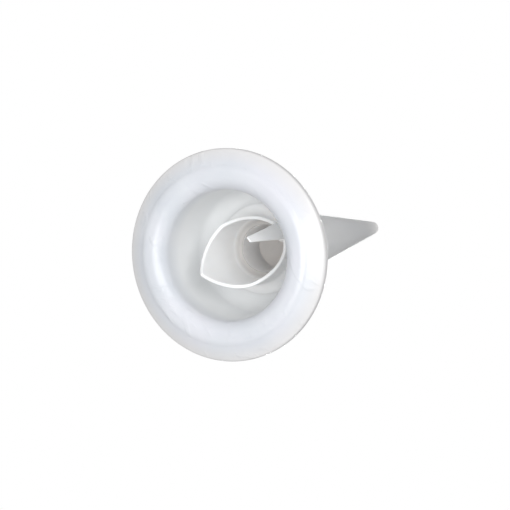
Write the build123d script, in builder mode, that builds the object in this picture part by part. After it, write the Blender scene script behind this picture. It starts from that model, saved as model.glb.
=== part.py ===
from build123d import *
import os

# Liquor pour spout, millimetres.
# +Z runs up the spout, away from the bottle. z = 0 is the crest of the collar, on which the part stands.
# The beak of the inlet is towards -X and its tongue towards +X.

# Collar: a soft cup that grips the outside of the bottle's lip, with a wide domed brim at its mouth
BRIM_R = 22.5
BRIM_DROP = 2.0             # from the crest to the widest point of the brim
BRIM_EDGE = 1.9             # thickness of the brim's edge
BRIM_EDGE_ROUND = 0.7
BRIM_BACK_RISE = 0.9        # the brim's back rises this much from its edge to the cup
CREASE_R = 19.1             # where the flat-topped dome turns into the outer bevel
CREASE_DROP = 0.5
LAND_WIDTH = 0.8            # flat ring on the crest
SOCKET_R = 13.9             # holds the bottle's lip
SOCKET_DEPTH = 21.0         # from the crest to the floor on which the lip seats
BOWL_ROUND = 3.4            # where the socket's wall meets its floor
MOUTH_ROUND = 3.0
CUP_WALL = 1.7              # at the brim
CUP_WALL_TOP = 1.1          # beside the web
CUP_SHOULDER_ROUND = 1.2
BRIM_ROOT_ROUND = 2.0
WEB = 2.0                   # the collar's inner flange, held between the inlet and the nozzle
RUNNING_GAP = 0.05          # radial and axial, where the hard spout turns in the collar

# Inlet tube: a beaked tube towards the bottle, a disc let into the collar's web and a spigot for the nozzle
TUBE_R = 7.65
TUBE_WALL = 0.75
DISC_THICKNESS = 1.2
DISC_RIM = 0.05             # flat left round the disc's edge
FLARE_ROUND = 2.4           # where the tube runs out into the disc
LEDGE_ROUND = 0.7           # where the tube's bore meets the ledge at the spigot
LEDGE_EDGE_ROUND = 0.25
BEAK_Z = 2.4                # height of the beak's tip
BEAK_SLOPE = 1.05           # fall of the rim to each side of the beak, per millimetre
BEAK_ROUND = 0.5
RIM_SIDE_Z = 10.6           # height of the rim beside the axis
HEEL_Z = 18.2               # lowest point of the rim, at the tongue's root
TONGUE_TIP_Z = 4.2
TONGUE_TIP_R = 5.8          # the tongue leans in towards the axis
TONGUE_BEND_Z = 17.5
TONGUE_TIP_WIDTH = 1.4
TONGUE_ROOT_WIDTH = 4.9
TONGUE_TIP_THICKNESS = 0.35
SPIGOT_R = 7.0
SPIGOT_BORE_R = 5.3
SPIGOT_LENGTH = 7.6         # above the collar's web
SPIGOT_CHAMFER = 0.4
BEAD_R = 0.45               # snap bead on the spigot
BEAD_PROUD = 0.22
BEAD_Z = 4.6                # above the collar's web

# Nozzle: a long hollow cone on a round base
NOZZLE_TIP_Z = 98.0
NOZZLE_BASE_R = 9.05
NOZZLE_TIP_R = 1.67
NOZZLE_BORE_R = 6.5         # just past the spigot
NOZZLE_TIP_BORE_R = 1.0
SEAT_R = 10.4               # round base, on which a dust cap can seat
SEAT_LENGTH = 4.0
SEAT_CHAMFER = 0.4
FLANGE_R = 12.6
FLANGE_THICKNESS = 1.6
FLANGE_ROUND = 0.5
SOCKET_FIT = 0.03           # radial, spigot in the nozzle
OUTLET_SLANT_LENGTH = 7.0   # the tip is cut back this far on the beak's side
OUTLET_LIP_X = 0.4          # the slant reaches the tip this far past the axis

# Vent: a fine tube in a boss inside the nozzle, and the air hole that feeds it
VENT_R = 1.1
VENT_BORE_R = 0.6
VENT_LENGTH = 9.0
VENT_WALL_GAP = 0.1         # vent tube to the wall of the spigot's bore
VENT_FIT = 0.02             # radial, vent tube in its boss
BOSS_WALL = 0.8
BOSS_LENGTH = 4.0
AIR_HOLE_R = 0.6

EXTRA = 1.0                 # cutting tools reach this far past what they cut
NEAR = 0.01                 # tolerance for picking corners

os.makedirs("parts", exist_ok=True)

# Heights that several pieces share
disc_bottom = SOCKET_DEPTH
disc_top = disc_bottom + DISC_THICKNESS
web_bottom = disc_top + RUNNING_GAP
web_top = web_bottom + WEB
nozzle_bottom = web_top + RUNNING_GAP
spigot_top = nozzle_bottom + SPIGOT_LENGTH
bore_start = spigot_top + RUNNING_GAP
bead_z = nozzle_bottom + BEAD_Z
spigot_chamfer = min(SPIGOT_CHAMFER, (SPIGOT_R - SPIGOT_BORE_R) / 2 - NEAR)     # limited by the spigot's wall
neck_hole_r = TUBE_R + RUNNING_GAP
crest_r = SOCKET_R + MOUTH_ROUND
tube_bore_r = TUBE_R - TUBE_WALL
disc_r = TUBE_R + FLARE_ROUND + DISC_RIM
disc_seat_r = disc_r + RUNNING_GAP


def cone_r(z):
    """Outer radius of the nozzle's cone at a height."""
    share = (z - nozzle_bottom) / (NOZZLE_TIP_Z - nozzle_bottom)
    return NOZZLE_BASE_R + (NOZZLE_TIP_R - NOZZLE_BASE_R) * share


def corner_at(section, x, height):
    """The corners of a turned section at a radius and a height."""
    return section.vertices().filter_by(lambda v: abs(v.X - x) < NEAR and abs(v.Y - height) < NEAR)


# ---- collar ----
edge_top = BRIM_DROP + BRIM_EDGE
brim_back = edge_top + BRIM_BACK_RISE
cup_r = SOCKET_R + CUP_WALL
cup_top_r = SOCKET_R + CUP_WALL_TOP
bowl_round = min(BOWL_ROUND, SOCKET_R - disc_seat_r - NEAR)     # limited by the floor beside the disc

with BuildPart() as collar:
    with BuildSketch(Plane.XZ) as collar_section:
        with BuildLine():
            Line((crest_r, 0), (crest_r + LAND_WIDTH, 0))
            TangentArc((crest_r + LAND_WIDTH, 0), (CREASE_R, CREASE_DROP), tangent=(1, 0))
            Line((CREASE_R, CREASE_DROP), (BRIM_R, BRIM_DROP))
            Line((BRIM_R, BRIM_DROP), (BRIM_R, edge_top))
            Line((BRIM_R, edge_top), (cup_r, brim_back))
            Line((cup_r, brim_back), (cup_top_r, web_top))
            Line((cup_top_r, web_top), (neck_hole_r, web_top))
            Line((neck_hole_r, web_top), (neck_hole_r, web_bottom))
            Line((neck_hole_r, web_bottom), (disc_seat_r, web_bottom))
            Line((disc_seat_r, web_bottom), (disc_seat_r, disc_bottom))
            Line((disc_seat_r, disc_bottom), (SOCKET_R, disc_bottom))
            Line((SOCKET_R, disc_bottom), (SOCKET_R, MOUTH_ROUND))
            RadiusArc((SOCKET_R, MOUTH_ROUND), (crest_r, 0), -MOUTH_ROUND)
        make_face()
        edge_corners = collar_section.vertices().filter_by(lambda v: v.X > BRIM_R - NEAR)
        fillet(edge_corners, BRIM_EDGE_ROUND)
        fillet(corner_at(collar_section, cup_r, brim_back), BRIM_ROOT_ROUND)
        fillet(corner_at(collar_section, cup_top_r, web_top), CUP_SHOULDER_ROUND)
        fillet(corner_at(collar_section, SOCKET_R, disc_bottom), bowl_round)
    revolve(axis=Axis.Z)

collar.part.label = "collar"
export_step(collar.part, "parts/collar.step")

# ---- inlet tube ----
mid_wall_r = TUBE_R - TUBE_WALL / 2

# The beaked tube on its own, so that its slanted mouth doesn't cut the tongue
with BuildPart() as beaked_tube:
    with BuildSketch(Plane.XY.offset(BEAK_Z)):
        Circle(TUBE_R)
        Circle(tube_bore_r, mode=Mode.SUBTRACT)
    extrude(amount=disc_top - BEAK_Z)
    # Two planes fall away from the beak like a roof
    with BuildSketch(Plane.YZ) as roof_section:
        with BuildLine():
            reach = TUBE_R + EXTRA
            roof_points = [
                (-reach, BEAK_Z - reach),
                (-reach, BEAK_Z + BEAK_SLOPE * reach),
                (0, BEAK_Z),
                (reach, BEAK_Z + BEAK_SLOPE * reach),
                (reach, BEAK_Z - reach),
            ]
            Polyline(*roof_points, close=True)
        make_face()
        fillet(corner_at(roof_section, 0, BEAK_Z), BEAK_ROUND)
    extrude(amount=reach, both=True, mode=Mode.SUBTRACT)
    # The rim sweeps down from the sides to the heel
    with BuildSketch(Plane.XZ):
        with BuildLine():
            Spline(
                (-reach, BEAK_Z - EXTRA),
                (0, RIM_SIDE_Z),
                (TUBE_R, HEEL_Z),
            )
            Line((TUBE_R, HEEL_Z), (reach, HEEL_Z))
            Line((reach, HEEL_Z), (reach, BEAK_Z - reach))
            Line((reach, BEAK_Z - reach), (-reach, BEAK_Z - reach))
            Line((-reach, BEAK_Z - reach), (-reach, BEAK_Z - EXTRA))
        make_face()
    extrude(amount=reach, both=True, mode=Mode.SUBTRACT)

# The tongue is a tapering strip of the same wall, leaning in and thinner towards its tip
with BuildPart() as tongue:
    with BuildSketch(Plane.YZ):
        with BuildLine():
            tongue_points = [
                (-TONGUE_ROOT_WIDTH / 2, disc_bottom),
                (-TONGUE_TIP_WIDTH / 2, TONGUE_TIP_Z),
                (TONGUE_TIP_WIDTH / 2, TONGUE_TIP_Z),
                (TONGUE_ROOT_WIDTH / 2, disc_bottom),
            ]
            Polyline(*tongue_points, close=True)
        make_face()
    extrude(amount=TUBE_R + EXTRA)
    with BuildSketch(Plane.XZ):
        with BuildLine():
            wall_points = [
                (tube_bore_r, disc_bottom),
                (tube_bore_r, TONGUE_BEND_Z),
                (TONGUE_TIP_R - TONGUE_TIP_THICKNESS, TONGUE_TIP_Z),
                (TONGUE_TIP_R, TONGUE_TIP_Z),
                (TUBE_R, TONGUE_BEND_Z),
                (TUBE_R, disc_bottom),
            ]
            Polyline(*wall_points, close=True)
        make_face()
    revolve(axis=Axis.Z, mode=Mode.INTERSECT)

with BuildPart() as inlet_tube:
    # Disc, neck through the collar's web, spigot and snap bead, as one turned shape
    with BuildSketch(Plane.XZ) as turned_section:
        with BuildLine():
            turned_points = [
                (tube_bore_r, disc_bottom),
                (disc_r, disc_bottom),
                (disc_r, disc_top),
                (TUBE_R, disc_top),
                (TUBE_R, nozzle_bottom - RUNNING_GAP / 2),
                (SPIGOT_R, nozzle_bottom - RUNNING_GAP / 2),
                (SPIGOT_R, spigot_top),
                (SPIGOT_BORE_R, spigot_top),
                (SPIGOT_BORE_R, disc_top),
                (tube_bore_r, disc_top),
            ]
            Polyline(*turned_points, close=True)
        make_face()
        chamfer(corner_at(turned_section, SPIGOT_R, spigot_top), spigot_chamfer)
        chamfer(corner_at(turned_section, SPIGOT_BORE_R, spigot_top), spigot_chamfer)
        fillet(corner_at(turned_section, tube_bore_r, disc_top), LEDGE_ROUND)
        fillet(corner_at(turned_section, SPIGOT_BORE_R, disc_top), LEDGE_EDGE_ROUND)
    revolve(axis=Axis.Z)
    with BuildSketch(Plane.XZ):
        with Locations((SPIGOT_R + BEAD_PROUD - BEAD_R, bead_z)):
            Circle(BEAD_R)
        # The bead stays out of the spigot's bore, however thin the wall
        with Locations((0, bead_z)):
            Rectangle(2 * SPIGOT_BORE_R, 2 * BEAD_R, mode=Mode.SUBTRACT)
    revolve(axis=Axis.Z)
    add(beaked_tube.part)
    add(tongue.part)
    # The tube runs out into the disc in a soft flare
    with BuildSketch(Plane.XZ):
        with BuildLine():
            flare_top = disc_bottom - FLARE_ROUND
            Line((mid_wall_r, disc_bottom), (TUBE_R + FLARE_ROUND, disc_bottom))
            RadiusArc((TUBE_R + FLARE_ROUND, disc_bottom), (TUBE_R, flare_top), FLARE_ROUND)
            Line((TUBE_R, flare_top), (mid_wall_r, flare_top))
            Line((mid_wall_r, flare_top), (mid_wall_r, disc_bottom))
        make_face()
    revolve(axis=Axis.Z)

inlet_tube.part.label = "inlet_tube"
export_step(inlet_tube.part, "parts/inlet_tube.step")

# ---- nozzle ----
socket_r = SPIGOT_R + SOCKET_FIT
vent_x = SPIGOT_BORE_R - VENT_WALL_GAP - VENT_R
boss_bottom = bore_start
boss_top = boss_bottom + BOSS_LENGTH
vent_socket_top = boss_top - BOSS_WALL
air_hole_z = vent_socket_top - AIR_HOLE_R
boss_reach = (NOZZLE_BORE_R + cone_r(boss_top)) / 2
flange_top = nozzle_bottom + FLANGE_THICKNESS
seat_top = flange_top + SEAT_LENGTH

with BuildPart() as nozzle:
    with BuildSketch(Plane.XZ) as nozzle_section:
        with BuildLine():
            nozzle_points = [
                (0, nozzle_bottom),
                (FLANGE_R, nozzle_bottom),
                (FLANGE_R, flange_top),
                (SEAT_R, flange_top),
                (SEAT_R, seat_top),
                (cone_r(seat_top), seat_top),
                (NOZZLE_TIP_R, NOZZLE_TIP_Z),
                (0, NOZZLE_TIP_Z),
            ]
            Polyline(*nozzle_points, close=True)
        make_face()
        flange_corners = nozzle_section.vertices().filter_by(lambda v: v.X > FLANGE_R - NEAR)
        fillet(flange_corners, FLANGE_ROUND)
        chamfer(corner_at(nozzle_section, SEAT_R, seat_top), SEAT_CHAMFER)
    revolve(axis=Axis.Z)
    # Bore: a socket for the spigot with the bead's groove, then a long taper to the outlet
    with BuildSketch(Plane.XZ):
        with BuildLine():
            bore_points = [
                (0, nozzle_bottom),
                (socket_r, nozzle_bottom),
                (socket_r, bore_start),
                (NOZZLE_BORE_R, bore_start),
                (NOZZLE_TIP_BORE_R, NOZZLE_TIP_Z),
                (0, NOZZLE_TIP_Z),
            ]
            Polyline(*bore_points, close=True)
        make_face()
    revolve(axis=Axis.Z, mode=Mode.SUBTRACT)
    with BuildSketch(Plane.XZ):
        with Locations((SPIGOT_R + BEAD_PROUD - BEAD_R, bead_z)):
            Circle(BEAD_R + SOCKET_FIT)
    revolve(axis=Axis.Z, mode=Mode.SUBTRACT)
    # Boss for the vent tube, run out to the cone's wall
    with BuildSketch(Plane.XY.offset(boss_bottom)):
        with Locations((vent_x, 0)):
            Circle(VENT_R + BOSS_WALL)
        with Locations((vent_x, -VENT_R - BOSS_WALL)):
            Rectangle(boss_reach - vent_x, 2 * (VENT_R + BOSS_WALL), align=(Align.MIN, Align.MIN))
    extrude(amount=BOSS_LENGTH)
    with BuildSketch(Plane.XY.offset(boss_bottom)):
        with Locations((vent_x, 0)):
            Circle(VENT_R + VENT_FIT)
    extrude(amount=vent_socket_top - boss_bottom, mode=Mode.SUBTRACT)
    with BuildSketch(Plane.YZ.offset(vent_x)):
        with Locations((0, air_hole_z)):
            Circle(AIR_HOLE_R)
    extrude(amount=cone_r(boss_bottom), mode=Mode.SUBTRACT)
    # The tip is cut on a slant, with its long lip on the tongue's side
    with BuildSketch(Plane.XZ):
        with BuildLine():
            slant_points = [
                (-NOZZLE_BASE_R, NOZZLE_TIP_Z - OUTLET_SLANT_LENGTH),
                (-cone_r(NOZZLE_TIP_Z - OUTLET_SLANT_LENGTH), NOZZLE_TIP_Z - OUTLET_SLANT_LENGTH),
                (OUTLET_LIP_X, NOZZLE_TIP_Z),
                (OUTLET_LIP_X, NOZZLE_TIP_Z + EXTRA),
                (-NOZZLE_BASE_R, NOZZLE_TIP_Z + EXTRA),
            ]
            Polyline(*slant_points, close=True)
        make_face()
    extrude(amount=NOZZLE_BASE_R, both=True, mode=Mode.SUBTRACT)

nozzle.part.label = "nozzle"
export_step(nozzle.part, "parts/nozzle.step")

# ---- vent tube ----
vent_top = vent_socket_top - 2 * AIR_HOLE_R

with BuildPart() as vent_tube:
    with BuildSketch(Plane.XY.offset(vent_top - VENT_LENGTH)):
        with Locations((vent_x, 0)):
            Circle(VENT_R)
            Circle(VENT_BORE_R, mode=Mode.SUBTRACT)
    extrude(amount=VENT_LENGTH)

vent_tube.part.label = "vent_tube"
export_step(vent_tube.part, "parts/vent_tube.step")
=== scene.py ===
import math

import bpy
import numpy as np
from mathutils import Matrix, Vector


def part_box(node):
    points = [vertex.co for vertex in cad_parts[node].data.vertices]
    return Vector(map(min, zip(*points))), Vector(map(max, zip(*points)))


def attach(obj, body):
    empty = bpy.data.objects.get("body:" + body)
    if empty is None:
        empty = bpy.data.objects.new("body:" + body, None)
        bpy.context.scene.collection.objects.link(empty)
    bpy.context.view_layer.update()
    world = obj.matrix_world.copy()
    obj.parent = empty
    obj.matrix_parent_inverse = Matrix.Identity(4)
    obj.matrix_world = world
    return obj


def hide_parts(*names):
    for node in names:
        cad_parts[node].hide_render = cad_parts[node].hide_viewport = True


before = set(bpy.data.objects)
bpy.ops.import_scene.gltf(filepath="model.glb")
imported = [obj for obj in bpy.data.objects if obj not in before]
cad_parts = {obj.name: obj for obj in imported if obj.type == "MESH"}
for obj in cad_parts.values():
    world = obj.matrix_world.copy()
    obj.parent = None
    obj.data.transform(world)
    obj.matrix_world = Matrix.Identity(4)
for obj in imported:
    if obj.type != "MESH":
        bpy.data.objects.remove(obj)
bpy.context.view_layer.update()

mm = 0.001

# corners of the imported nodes' boxes at rest, in millimetres
collarLow, collarHigh = (np.array(corner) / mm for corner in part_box("collar"))
inletHigh = np.array(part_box("inlet_tube")[1]) / mm
nozzleLow = np.array(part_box("nozzle")[0]) / mm
ventLow, ventHigh = (np.array(corner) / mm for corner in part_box("vent_tube"))

view = dict(
    distance=270 * mm,      # from the middle of the brim's widest circle
    offAxis=25.84,          # degrees from the spout's axis, on the bottle side
    azimuth=25.0,           # degrees round the axis from the tongue
    roll=10.61,             # degrees
    panRight=1.337,         # degrees
    panUp=0.027,            # degrees
    lens=90.74,
    brimHeight=2.0 * mm,
)


def aimCamera(v):
    # place = side sin(offAxis) - Z cos(offAxis), then the picture is rolled and turned a little to the right
    off, turn, roll, panRight, panUp = (
        math.radians(v[k]) for k in ("offAxis", "azimuth", "roll", "panRight", "panUp")
    )
    side = Vector((math.cos(turn), math.sin(turn), 0))
    place = side * math.sin(off) - Vector((0, 0, math.cos(off)))
    unrolledUp = Vector((math.sin(turn), -math.cos(turn), 0))
    unrolledRight = unrolledUp.cross(place)
    right = unrolledRight * math.cos(roll) - unrolledUp * math.sin(roll)
    up = unrolledRight * math.sin(roll) + unrolledUp * math.cos(roll)
    ahead = (right * math.tan(panRight) + up * math.tan(panUp) - place).normalized()
    right = ahead.cross(up).normalized()
    up = right.cross(ahead)
    data = bpy.data.cameras.new("camera")
    data.lens = v["lens"]
    data.clip_start, data.clip_end = 0.01, 10
    cam = bpy.data.objects.new("camera", data)
    bpy.context.scene.collection.objects.link(cam)
    matrix = Matrix((right, up, -ahead)).transposed().to_4x4()
    middle = Vector((0, 0, v["brimHeight"]))
    matrix.translation = middle + place * v["distance"]
    cam.matrix_world = matrix
    bpy.context.scene.camera = cam
    return middle, place, up


middle, towardsCamera, cameraUp = aimCamera(view)
print("camera placed")


# ways to make a surface

def roundedLine(corners, steps=9):
    # each corner (radius, height, round) becomes an arc: its centre is on the corner's bisector,
    # round / sin(half angle) away, and the arc turns evenly between the two tangent points
    c = np.array(corners, float)
    p, size = c[:, :2], c[:, 2:]
    before, after = np.roll(p, 1, 0) - p, np.roll(p, -1, 0) - p
    before /= np.linalg.norm(before, axis=1, keepdims=True)
    after /= np.linalg.norm(after, axis=1, keepdims=True)
    half = np.arccos(np.clip((before * after).sum(1, keepdims=True), -1, 1)) / 2
    bisector = (before + after) / np.linalg.norm(before + after, axis=1, keepdims=True)
    centre = p + bisector * size / np.sin(half)
    start = p + before * size / np.tan(half) - centre
    stop = p + after * size / np.tan(half) - centre
    turn = (math.pi - 2 * half)[:, None, :]
    share = np.linspace(0, 1, steps)[None, :, None]
    arc = np.sin((1 - share) * turn) * start[:, None, :] + np.sin(share * turn) * stop[:, None, :]
    line = (centre[:, None, :] + arc / np.sin(turn)).reshape(-1, 2)
    apart = np.linalg.norm(np.diff(line, axis=0), axis=1) > 1e-4
    return line[np.concatenate([[True], apart])]


def divided(line, spacing, closed=True):
    # the same line with each run cut into equal steps: start + (stop - start) k / count, where count is
    # the run's length over the spacing, rounded up
    starts = line if closed else line[:-1]
    runs = (np.roll(line, -1, 0) - line)[:len(starts)]
    counts = np.ceil(np.linalg.norm(runs, axis=1) / spacing).astype(int)
    owner = np.repeat(np.arange(len(starts)), counts)
    share = (np.arange(len(owner)) - np.repeat(np.cumsum(counts) - counts, counts)) / counts[owner]
    made = starts[owner] + runs[owner] * share[:, None]
    return made if closed else np.vstack([made, line[-1:]])


def turned(line, angles):
    # point(row, angle) = (radius cos angle, radius sin angle, height)
    radius, height = line[:, :1], line[:, 1:]
    x, y = radius * np.cos(angles), radius * np.sin(angles)
    return np.stack([x, y, height + 0 * x], -1)


def surface(name, grid, body, node):
    # joins a grid of points, in millimetres, that closes on itself both ways, with its faces outwards
    points = grid.reshape(-1, 3) * mm
    index = np.arange(len(points)).reshape(grid.shape[:2])
    down, across = np.roll(index, -1, 0), np.roll(index, -1, 1)
    quads = np.stack([index, down, np.roll(down, -1, 1), across], -1).reshape(-1, 4)
    a, b, c, d = (points[quads[:, k]] for k in range(4))
    volume = (np.einsum("ij,ij->i", a, np.cross(b, c)) + np.einsum("ij,ij->i", a, np.cross(c, d))).sum()
    quads = quads if volume > 0 else quads[:, ::-1]
    mesh = bpy.data.meshes.new(name)
    mesh.from_pydata(points.tolist(), [], quads.tolist())
    mesh.polygons.foreach_set("use_smooth", np.ones(len(quads), bool))
    mesh.update()
    piece = bpy.data.objects.new(name, mesh)
    bpy.context.scene.collection.objects.link(piece)
    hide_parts(node)
    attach(piece, body)
    print(f"{name}: {len(quads)} faces, {abs(volume) / 6 / mm ** 3:.0f} cubic mm")
    return piece


# the soft collar

collar = dict(
    brimRadius=collarHigh[0], crestHeight=collarLow[2], topHeight=collarHigh[2],
    brimDrop=2.0, brimEdge=1.9, edgeRound=0.7, backRise=0.9, rootRound=2.0,
    creaseRadius=19.1, creaseDrop=0.5, creaseRound=2.0,
    domeSlope=31,           # degrees
    domeRound=3.0,
    socketRadius=13.9, mouthRound=3.0, bowlRound=3.4, floorHeight=21.0,
    cupRadius=15.6, shoulderRadius=15.0, shoulderRound=1.2,
    holeRadius=7.7, holeRound=0.1, webHeight=22.25, seatRadius=10.105, seatRound=0.02,
    spacing=0.3, sides=288,
)


def makeCollar(c):
    # a closed section turned round the axis; the dome's corner lies where its slope meets the crest
    domeCorner = c["creaseRadius"] - c["creaseDrop"] / math.tan(math.radians(c["domeSlope"]))
    edgeTop = c["brimDrop"] + c["brimEdge"]
    corners = [
        (c["socketRadius"], c["crestHeight"], c["mouthRound"]),
        (domeCorner, c["crestHeight"], c["domeRound"]),
        (c["creaseRadius"], c["creaseDrop"], c["creaseRound"]),
        (c["brimRadius"], c["brimDrop"], c["edgeRound"]),
        (c["brimRadius"], edgeTop, c["edgeRound"]),
        (c["cupRadius"], edgeTop + c["backRise"], c["rootRound"]),
        (c["shoulderRadius"], c["topHeight"], c["shoulderRound"]),
        (c["holeRadius"], c["topHeight"], c["holeRound"]),
        (c["holeRadius"], c["webHeight"], c["holeRound"]),
        (c["seatRadius"], c["webHeight"], 0),
        (c["seatRadius"], c["floorHeight"], c["seatRound"]),
        (c["socketRadius"], c["floorHeight"], c["bowlRound"]),
    ]
    line = divided(roundedLine(corners), c["spacing"])
    angles = np.linspace(0, 2 * math.pi, c["sides"], endpoint=False)[None, :]
    return surface("collarSkin", turned(line, angles), "collar", "collar")


collarSkin = makeCollar(collar)


# the inlet tube with its beak and tongue

inlet = dict(
    tubeRadius=7.65, wall=0.75, rimRound=0.35,
    beakHeight=2.4, beakSlope=1.05, sideHeight=10.6, heelHeight=18.2,
    tongueTipHeight=4.05, tongueTipWidth=1.4, tongueRootWidth=4.9, tongueRootHeight=21.0,
    tongueTipRadius=5.8, tongueTipWall=0.35, bendHeight=17.5, bendSoftness=0.004,
    leanEnds=0.75, leanFade=0.3,        # radians from the middle of the tongue
    cornerRound=0.28, rimSpacing=0.24,
    flareTop=18.6, flareRound=2.4, discRadius=inletHigh[0], discBottom=21.0, discTop=22.2, discRound=0.15,
    ledgeRound=1.1, ledgeEdgeRound=0.45, spigotRadius=7.0, spigotBore=5.3, spigotTop=inletHigh[2],
    spigotEdgeRound=0.4, spigotBoreRound=0.15, neckTop=24.28, neckRound=0.1, neckFootRound=0.05,
    discFootRound=0.02, boreRow=19.2, boreStep=0.2, wallRows=44, spacing=0.3,
)


def rimPath(c):
    # the mouth on the unrolled wall, as (arc, height): the higher of a roof that falls away from the beak
    # and a curve that sweeps to the heel, cut by the tongue's straight sides; even steps along it, then each
    # point is averaged with its neighbours, which rounds the corners
    r = c["tubeRadius"]
    arc = np.linspace(-math.pi * r, math.pi * r, 60001)
    x, y = r * np.cos(arc / r), np.abs(r * np.sin(arc / r))
    roof = c["beakHeight"] + c["beakSlope"] * y
    rise, fall = c["heelHeight"] - c["sideHeight"], c["sideHeight"] - c["beakHeight"]
    sweep = c["sideHeight"] + (rise + fall) / 2 * x / r + (rise - fall) / 2 * (x / r) ** 2
    mouth = np.where(x < 0, np.maximum(roof, sweep), sweep)
    spread = r / c["tongueTipRadius"]
    tip, root = c["tongueTipWidth"] / 2 * spread, c["tongueRootWidth"] / 2
    steep = (c["tongueRootHeight"] - c["tongueTipHeight"]) / (root - tip)
    side = c["tongueTipHeight"] + steep * np.maximum(np.abs(arc) - tip, 0)
    height = np.minimum(mouth, side)
    length = np.concatenate([[0], np.cumsum(np.hypot(np.diff(arc), np.diff(height)))])
    count = int(length[-1] / c["rimSpacing"] / 2) * 2
    even = np.linspace(0, length[-1], count * 8, endpoint=False)
    arc, height = np.interp(even, length, arc), np.interp(even, length, height)
    reach = int(4 * c["cornerRound"] / (even[1] - even[0]))
    weight = np.exp(-0.5 * (np.arange(-reach, reach + 1) / reach * 4) ** 2)
    weight /= weight.sum()
    around = 2 * math.pi * r
    arc = np.convolve(np.concatenate([arc[-reach:] - around, arc, arc[:reach] + around]), weight, "valid")
    height = np.convolve(np.concatenate([height[-reach:], height, height[:reach]]), weight, "valid")
    return arc[::8], height[::8]


def makeInlet(c):
    # columns run from the flare up the outside to the mouth, over its rounded rim and back down the bore;
    # the rim's section is carried along the mouth, square to it; the rest is a turned section of ledge,
    # spigot, neck, disc and flare
    r, wall = c["tubeRadius"], c["wall"]
    arc, height = rimPath(c)
    alongArc = np.roll(arc, -1) - np.roll(arc, 1)
    alongArc = np.where(alongArc < -1, alongArc + 2 * math.pi * r, alongArc)
    alongHeight = np.roll(height, -1) - np.roll(height, 1)
    step = np.hypot(alongArc, alongHeight)
    outArc, outHeight = alongHeight / step, -alongArc / step

    def leaning(a, z):
        # 0 on the tube, and on the tongue 0 at the bend rising to 1 at the tip
        down = (c["bendHeight"] - z) / (c["bendHeight"] - c["tongueTipHeight"])
        down = (down + np.sqrt(down ** 2 + c["bendSoftness"])) / 2
        near = np.clip((c["leanEnds"] - np.abs(a / r)) / c["leanFade"], 0, 1)
        return down * near * near * (3 - 2 * near)

    def wallPoints(a, z, depth):
        # depth is 0 on the outside of the wall and 1 on its inside
        lean = leaning(a, z)
        thick = wall + (c["tongueTipWall"] - wall) * lean
        radius = r + (c["tongueTipRadius"] - r) * lean - depth * thick
        return np.stack([radius * np.cos(a / r), radius * np.sin(a / r), z + 0 * a], -1)

    thick = wall + (c["tongueTipWall"] - wall) * leaning(arc, height)
    edge = c["rimRound"] * thick
    bend = np.linspace(0, math.pi / 2, 6)[:, None]
    depthOut = c["rimRound"] * (1 - np.cos(bend))
    backOut = edge * (1 - np.sin(bend))
    depth = np.vstack([depthOut, 1 - depthOut[::-1]])
    back = np.vstack([backOut, backOut[::-1]])
    rim = wallPoints(arc - outArc * back, height - outHeight * back, depth)
    startArc, startHeight = arc - outArc * edge, height - outHeight * edge
    share = np.linspace(0, 1, c["wallRows"], endpoint=False)[:, None]
    outside = wallPoints(
        arc + share * (startArc - arc), c["flareTop"] + share * (startHeight - c["flareTop"]), 0
    )
    share = share[::-1] + 0 * share
    inside = wallPoints(
        arc + share * (startArc - arc), c["boreRow"] + share * (startHeight - c["boreRow"]), 1
    )
    corners = [
        (r - wall, c["boreRow"] + c["boreStep"], 0),
        (r - wall, c["discTop"], c["ledgeRound"]),
        (c["spigotBore"], c["discTop"], c["ledgeEdgeRound"]),
        (c["spigotBore"], c["spigotTop"], c["spigotBoreRound"]),
        (c["spigotRadius"], c["spigotTop"], c["spigotEdgeRound"]),
        (c["spigotRadius"], c["neckTop"], c["neckFootRound"]),
        (r, c["neckTop"], c["neckRound"]),
        (r, c["discTop"], c["neckFootRound"]),
        (c["discRadius"], c["discTop"], c["discRound"]),
        (c["discRadius"], c["discBottom"], c["discFootRound"]),
        (r, c["discBottom"], c["flareRound"]),
        (r, c["flareTop"], 0),
    ]
    line = divided(roundedLine(corners), c["spacing"], closed=False)[:-1]
    base = turned(line, (arc / r)[None, :])
    grid = np.concatenate([outside, rim, inside, base])
    return surface("inletSkin", grid, "spout", "inlet_tube")


inletSkin = makeInlet(inlet)


# the vent tube

vent = dict(
    radius=(ventHigh[0] - ventLow[0]) / 2, across=(ventLow[0] + ventHigh[0]) / 2,
    bottom=ventLow[2], top=ventHigh[2], bore=0.6, endRound=0.15, sides=48, spacing=0.5,
)


def makeVent(c):
    # a closed section turned round its own axis, then moved across
    corners = [
        (c["bore"], c["bottom"], c["endRound"]), (c["radius"], c["bottom"], c["endRound"]),
        (c["radius"], c["top"], c["endRound"]), (c["bore"], c["top"], c["endRound"]),
    ]
    line = divided(roundedLine(corners, 5), c["spacing"])
    angles = np.linspace(0, 2 * math.pi, c["sides"], endpoint=False)[None, :]
    grid = turned(line, angles) + np.array([c["across"], 0, 0])
    return surface("ventSkin", grid, "spout", "vent_tube")


ventSkin = makeVent(vent)


# materials

def startMaterial(name):
    material = bpy.data.materials.new(name)
    material.use_nodes = True
    tree = material.node_tree
    return material, tree, tree.nodes["Principled BSDF"]


def node(tree, kind, inputs=None, **settings):
    made = tree.nodes.new("ShaderNode" + kind)
    for key, value in settings.items():
        setattr(made, key, value)
    for key, value in (inputs or {}).items():
        if isinstance(value, bpy.types.NodeSocket):
            tree.links.new(value, made.inputs[key])
        else:
            made.inputs[key].default_value = value
    return made


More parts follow.
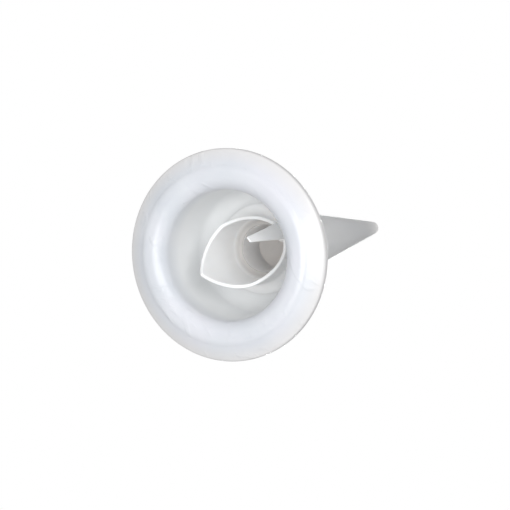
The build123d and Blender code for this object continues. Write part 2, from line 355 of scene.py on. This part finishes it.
def noise(tree, scale, detail=3.0, stretch=(1, 1, 1), turn=(0, 0, 0), distortion=0.0):
    # soft cloudy pattern fixed to the object; stretch below 1 lengthens it along that axis
    place = node(tree, "TexCoord").outputs["Object"]
    moved = node(tree, "Mapping", {"Vector": place, "Scale": stretch, "Rotation": turn})
    made = node(tree, "TexNoise", {
        "Vector": moved.outputs["Vector"], "Scale": scale, "Detail": detail, "Distortion": distortion,
    })
    return made.outputs["Fac"]


def ranged(tree, value, low, high, toLow, toHigh):
    made = node(tree, "MapRange", {
        "Value": value, "From Min": low, "From Max": high, "To Min": toLow, "To Max": toHigh,
    })
    return made.outputs["Result"]


def times(tree, first, second):
    return node(tree, "Math", {0: first, 1: second}, operation="MULTIPLY").outputs[0]


def mixed(tree, factor, first, second):
    made = node(tree, "Mix", data_type="RGBA")
    tree.links.new(factor, made.inputs["Factor"])
    for socket, value in ((made.inputs[6], first), (made.inputs[7], second)):
        if isinstance(value, bpy.types.NodeSocket):
            tree.links.new(value, socket)
        else:
            socket.default_value = value
    return made.outputs[2]


def bumped(tree, height, strength, distance, before=None):
    inputs = {"Height": height, "Strength": strength, "Distance": distance}
    if before is not None:
        inputs["Normal"] = before
    return node(tree, "Bump", inputs).outputs["Normal"]


def polar(tree):
    # distance from the spout's axis and height, in metres
    place = node(tree, "TexCoord").outputs["Object"]
    flat = node(tree, "VectorMath", {0: place, 1: (1, 1, 0)}, operation="MULTIPLY").outputs[0]
    radius = node(tree, "VectorMath", {0: flat}, operation="LENGTH").outputs["Value"]
    return radius, node(tree, "SeparateXYZ", {"Vector": place}).outputs["Z"]


silicone = dict(
    clear=(0.635, 0.66, 0.70, 1), milky=(0.705, 0.725, 0.76, 1), inner=(0.81, 0.82, 0.825, 1),
    tint=(0.70, 0.695, 0.745, 1), edge=(0.705, 0.695, 0.69, 1),
    edgeStarts=19.5, edgeFull=22.2, recessEnds=16.0, recessFade=1.0,       # distances from the axis
    brimEnds=1.5, innerStarts=8.0, marksEnd=2.4, marksFade=0.4,             # heights
    cloudScale=60, cloudRange=(0.35, 0.65), tintScale=75, tintRange=(0.45, 0.7), tintMost=0.5, edgeMost=0.8,
    filmScale=140, filmRange=(0.3, 0.7), smudgeScale=95, smudgeRange=(0.62, 0.7),
    scratchScale=900, scratchRange=(0.70, 0.76), streakScale=260, streakRange=(0.60, 0.70),
    grainScale=2200, grainBump=0.12, grainHeight=0.02 * mm,
    waveScale=160, waveBump=0.35, waveHeight=0.08 * mm,
    streakBump=0.6, streakHeight=0.12 * mm, scratchBump=0.5, scratchHeight=0.02 * mm,
    roughness=(0.285, 0.37), smudge=0.43, coat=0.3, coatRoughness=0.15, refraction=1.41,
    scatter=0.8, depth=0.9 * mm,
)


def makeSilicone(c):
    material, tree, shader = startMaterial("milkySilicone")
    cloud = noise(tree, c["cloudScale"], 4)
    base = mixed(tree, ranged(tree, cloud, *c["cloudRange"], 0, 1), c["clear"], c["milky"])
    radius, height = polar(tree)
    patches = ranged(tree, noise(tree, c["tintScale"], 2), *c["tintRange"], 0, c["tintMost"])
    tinted = mixed(tree, patches, base, c["tint"])
    outer = ranged(tree, radius, c["edgeStarts"] * mm, c["edgeFull"] * mm, 0, c["edgeMost"])
    edged = mixed(tree, outer, tinted, c["edge"])
    # painted light: inside the recess the silicone is mixed to a lighter, more neutral tone than the brim's,
    # a painted glow
    within = ranged(tree, height, c["brimEnds"] * mm, c["innerStarts"] * mm, 0, 1)
    inRecess = ranged(tree, radius, c["recessEnds"] * mm, (c["recessEnds"] + c["recessFade"]) * mm, 1, 0)
    inside = times(tree, within, inRecess)
    tree.links.new(mixed(tree, inside, edged, c["inner"]), shader.inputs["Base Color"])
    film = ranged(tree, noise(tree, c["filmScale"], 5), *c["filmRange"], *c["roughness"])
    greasy = noise(tree, c["smudgeScale"], 2, distortion=1.5)
    smudge = ranged(tree, greasy, *c["smudgeRange"], 0, 1)      # finger marks
    fine = noise(tree, c["scratchScale"], 2, (1, 0.04, 1), (0, 0, 0.5))
    scratch = ranged(tree, fine, *c["scratchRange"], 0, 1)
    rough = node(tree, "Mix", data_type="FLOAT")
    brim = ranged(tree, height, (c["marksEnd"] - c["marksFade"]) * mm, c["marksEnd"] * mm, 1, 0)
    onBrim = times(tree, smudge, brim)
    tree.links.new(onBrim, rough.inputs["Factor"])
    tree.links.new(film, rough.inputs[2])
    rough.inputs[3].default_value = c["smudge"]
    tree.links.new(rough.outputs[0], shader.inputs["Roughness"])
    grain = bumped(tree, noise(tree, c["grainScale"], 3), c["grainBump"], c["grainHeight"])
    waves = bumped(tree, noise(tree, c["waveScale"], 2), c["waveBump"], c["waveHeight"], grain)
    brimScratch = times(tree, scratch, brim)
    # glossy streaks where the silicone pulled in the mould
    drawn = noise(tree, c["streakScale"], 3, (1, 0.4, 1), (0, 0, 0.8), 1.2)
    streak = ranged(tree, drawn, *c["streakRange"], 0, 1)
    brimStreak = times(tree, streak, brim)
    pulled = bumped(tree, brimStreak, c["streakBump"], c["streakHeight"], waves)
    marked = bumped(tree, brimScratch, c["scratchBump"], c["scratchHeight"], pulled)
    tree.links.new(marked, shader.inputs["Normal"])
    shader.inputs["Subsurface Weight"].default_value = c["scatter"]
    shader.inputs["Subsurface Radius"].default_value = (1.0, 1.0, 1.0)
    shader.inputs["Subsurface Scale"].default_value = c["depth"]
    shader.inputs["Coat Weight"].default_value = c["coat"]
    shader.inputs["Coat Roughness"].default_value = c["coatRoughness"]
    shader.inputs["IOR"].default_value = c["refraction"]
    return material


moulded = dict(
    inlet=(0.965, 0.97, 0.97, 1), inletPale=(0.98, 0.985, 0.985, 1), paintedLedgeShade=(0.50, 0.485, 0.47, 1),
    paintedBoreLight=(0.985, 0.97, 0.96, 1), disc=(0.86, 0.865, 0.865, 1),
    nozzle=(0.90, 0.895, 0.89, 1), nozzlePale=(0.94, 0.935, 0.93, 1), paintedNozzleBoreShade=(0.79, 0.765, 0.75, 1),
    vent=(0.86, 0.86, 0.85, 1), ventDark=(0.8, 0.8, 0.79, 1),
    toneScale=90, glossScale=260, cloudRange=(0.3, 0.7), roughness=(0.42, 0.56),
    grainScale=3200, grainBump=0.18, grainHeight=0.02 * mm, flowScale=120, flowBump=0.2, flowHeight=0.05 * mm,
    scatter=0.7, depth=1.0 * mm, inletScatter=0.8, nozzleScatter=1.4, nozzleReach=8.0,
    tubeDepth=1.4 * mm, discDepth=0.35 * mm, tubeEnds=7.75, shallowStarts=8.6,
    discStarts=8.0, discFull=9.6,               # where the disc's tone starts and is full, from the axis
    nearHeight=21.2, deepHeight=22.1, tubeBore=6.95, tubeFade=0.1, spigotBore=5.3,
    spigotStarts=0.01, spigotEnds=0.04,         # outside the spigot's bore
    pastStarts=0.1, pastFull=0.5,               # above deepHeight
    coneBase=9.05, coneFall=0.10014, coneFoot=nozzleLow[2],
    boreStarts=0.5, boreFull=0.8,               # under the cone's surface
)


def makePlastic(name, dark, pale, c, scatter=1.0, depth=1.0):
    # matt moulded plastic: two close tones, a spark-eroded grain and faint flow marks along the spout
    material, tree, shader = startMaterial(name)
    tone = ranged(tree, noise(tree, c["toneScale"], 4, (1, 1, 0.25)), *c["cloudRange"], 0, 1)
    tree.links.new(mixed(tree, tone, dark, pale), shader.inputs["Base Color"])
    gloss = ranged(tree, noise(tree, c["glossScale"], 4), *c["cloudRange"], *c["roughness"])
    tree.links.new(gloss, shader.inputs["Roughness"])
    grain = bumped(tree, noise(tree, c["grainScale"], 3), c["grainBump"], c["grainHeight"])
    flow = noise(tree, c["flowScale"], 2, (1, 1, 0.2))
    tree.links.new(bumped(tree, flow, c["flowBump"], c["flowHeight"], grain), shader.inputs["Normal"])
    shader.inputs["Subsurface Weight"].default_value = c["scatter"] * scatter
    shader.inputs["Subsurface Radius"].default_value = (1.0, 0.95, 0.9)
    shader.inputs["Subsurface Scale"].default_value = c["depth"] * depth
    return material, tree, shader


def retone(tree, shader, factor, tone):
    # mixes another tone over what the shader's colour has so far
    before = shader.inputs["Base Color"].links[0].from_socket
    tree.links.new(mixed(tree, factor, before, tone), shader.inputs["Base Color"])


def makeInletPlastic(c):
    # scatter reaches through the thin tube and stays shallow on the disc, whose tone runs into the collar's;
    # painted shade, a darker tone, on the ledge at the end of the tube's bore, and painted light, a lighter
    # and warmer tone, in the spigot's bore past it
    material, tree, shader = makePlastic("mattInletPlastic", c["inlet"], c["inletPale"], c, c["inletScatter"])
    radius, height = polar(tree)
    reach = ranged(tree, radius, c["tubeEnds"] * mm, c["shallowStarts"] * mm, c["tubeDepth"], c["discDepth"])
    tree.links.new(reach, shader.inputs["Subsurface Scale"])
    onDisc = ranged(tree, radius, c["discStarts"] * mm, c["discFull"] * mm, 0, 1)
    retone(tree, shader, onDisc, c["disc"])
    # painted shade: the ledge deep in the tube is darkened
    deep = ranged(tree, height, c["nearHeight"] * mm, c["deepHeight"] * mm, 0, 1)
    inTube = ranged(tree, radius, c["tubeBore"] * mm, (c["tubeBore"] + c["tubeFade"]) * mm, 1, 0)
    ledge = times(tree, deep, inTube)
    retone(tree, shader, ledge, c["paintedLedgeShade"])
    # painted light: the spigot's bore past the ledge is lightened and warmed
    starts, ends = (c["spigotBore"] + c[k] for k in ("spigotStarts", "spigotEnds"))
    inSpigot = ranged(tree, radius, starts * mm, ends * mm, 1, 0)
    starts, full = (c["deepHeight"] + c[k] for k in ("pastStarts", "pastFull"))
    past = ranged(tree, height, starts * mm, full * mm, 0, 1)
    bore = times(tree, inSpigot, past)
    retone(tree, shader, bore, c["paintedBoreLight"])
    return material


def makeNozzlePlastic(c):
    # grey outside, and painted shade, a darker warmer tone, in the bore from half a millimetre under the
    # cone's surface, where the depth is (base - fall (height - foot)) - radius
    material, tree, shader = makePlastic(
        "mattNozzlePlastic", c["nozzle"], c["nozzlePale"], c, c["nozzleScatter"], c["nozzleReach"]
    )
    radius, height = polar(tree)
    rise = node(tree, "Math", {0: height, 1: c["coneFall"], 2: radius}, operation="MULTIPLY_ADD").outputs[0]
    surfaceAt = (c["coneBase"] + c["coneFall"] * c["coneFoot"]) * mm
    # painted shade: the bore inside the cone is darkened
    boreShadeMask = ranged(tree, rise, surfaceAt - c["boreFull"] * mm, surfaceAt - c["boreStarts"] * mm, 1, 0)
    retone(tree, shader, boreShadeMask, c["paintedNozzleBoreShade"])
    return material


def finish(piece, material):
    piece.data.materials.clear()
    piece.data.materials.append(material)


finish(collarSkin, makeSilicone(silicone))
finish(inletSkin, makeInletPlastic(moulded))
finish(ventSkin, makePlastic("ventPlastic", moulded["ventDark"], moulded["vent"], moulded)[0])
nozzlePlastic = makeNozzlePlastic(moulded)
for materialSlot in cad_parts["nozzle"].material_slots:
    materialSlot.material = nozzlePlastic
print("materials made")


# the studio

studio = dict(
    floorSize=1.2, floorTone=(0.9, 0.9, 0.9, 1), floorDrop=0.05 * mm, fadeStarts=0.08, fadeEnds=0.55,
    around=0.45,            # how bright the world is to light with
    frontSize=0.38, frontPower=1.8, frontAway=0.38, frontDown=0.05, frontInwards=0.19,
    sideSize=0.24, sidePower=0.7, sideOffAxis=46, sideTurn=12, sideAway=0.40,
    skySize=0.3, skyPower=5.0, skyPlace=(-0.30, -0.14, 0.85),
)


def makeFloor(c):
    # a sheet under the part that shows from above, fades out away from it, and lets everything through
    # from below
    size = c["floorSize"] / 2
    mesh = bpy.data.meshes.new("floor")
    corners = [(-size, -size, 0), (size, -size, 0), (size, size, 0), (-size, size, 0)]
    mesh.from_pydata(corners, [], [(0, 1, 2, 3)])
    floor = bpy.data.objects.new("floor", mesh)
    bpy.context.scene.collection.objects.link(floor)
    floor.location.z = -c["floorDrop"]
    material = bpy.data.materials.new("floorPaper")
    material.use_nodes = True
    tree = material.node_tree
    tree.nodes.clear()
    path = node(tree, "LightPath").outputs["Is Camera Ray"]
    behind = node(tree, "NewGeometry").outputs["Backfacing"]
    seen = node(tree, "Math", {0: path, 1: behind}, operation="SUBTRACT", use_clamp=True)
    fade = ranged(tree, polar(tree)[0], c["fadeStarts"], c["fadeEnds"], 1, 0)
    seen = node(tree, "Math", {0: seen.outputs[0], 1: fade}, operation="MULTIPLY")
    paper = node(tree, "BsdfDiffuse", {"Color": c["floorTone"]})
    clear = node(tree, "BsdfTransparent")
    shown = node(tree, "MixShader", {0: seen.outputs[0], 1: clear.outputs[0], 2: paper.outputs[0]})
    node(tree, "OutputMaterial", {"Surface": shown.outputs[0]})
    mesh.materials.append(material)


def addLight(name, place, target, size, power):
    data = bpy.data.lights.new(name, "AREA")
    data.shape, data.size, data.energy = "DISK", size, power
    lamp = bpy.data.objects.new(name, data)
    lamp.location = place
    lamp.rotation_euler = (Vector(place) - target).to_track_quat("Z", "Y").to_euler()
    lamp.visible_camera = False
    bpy.context.scene.collection.objects.link(lamp)


def makeWorld(c):
    # white to look at, a dimmer white to light with
    world = bpy.data.worlds.new("studio")
    bpy.context.scene.world = world
    world.use_nodes = True
    tree = world.node_tree
    strength = node(tree, "MapRange", {
        "Value": node(tree, "LightPath").outputs["Is Camera Ray"], "To Min": c["around"], "To Max": 1.0,
    })
    background = tree.nodes["Background"]
    background.inputs["Color"].default_value = (1, 1, 1, 1)
    tree.links.new(strength.outputs[0], background.inputs["Strength"])


makeFloor(studio)
makeWorld(studio)
frontPlace = (middle + towardsCamera * studio["frontAway"] - cameraUp * studio["frontDown"]
              - Vector((0, 0, studio["frontInwards"])))
addLight("frontSoftbox", frontPlace, middle, studio["frontSize"], studio["frontPower"])
off, turn = math.radians(studio["sideOffAxis"]), math.radians(studio["sideTurn"])
sideWay = Vector((math.sin(off) * math.cos(turn), math.sin(off) * math.sin(turn), -math.cos(off)))
sidePlace = middle + sideWay * studio["sideAway"]
addLight("sideSoftbox", sidePlace, middle, studio["sideSize"], studio["sidePower"])
addLight("skySoftbox", Vector(studio["skyPlace"]), middle, studio["skySize"], studio["skyPower"])
bpy.context.scene.view_settings.view_transform = "Standard"
print("studio lit")
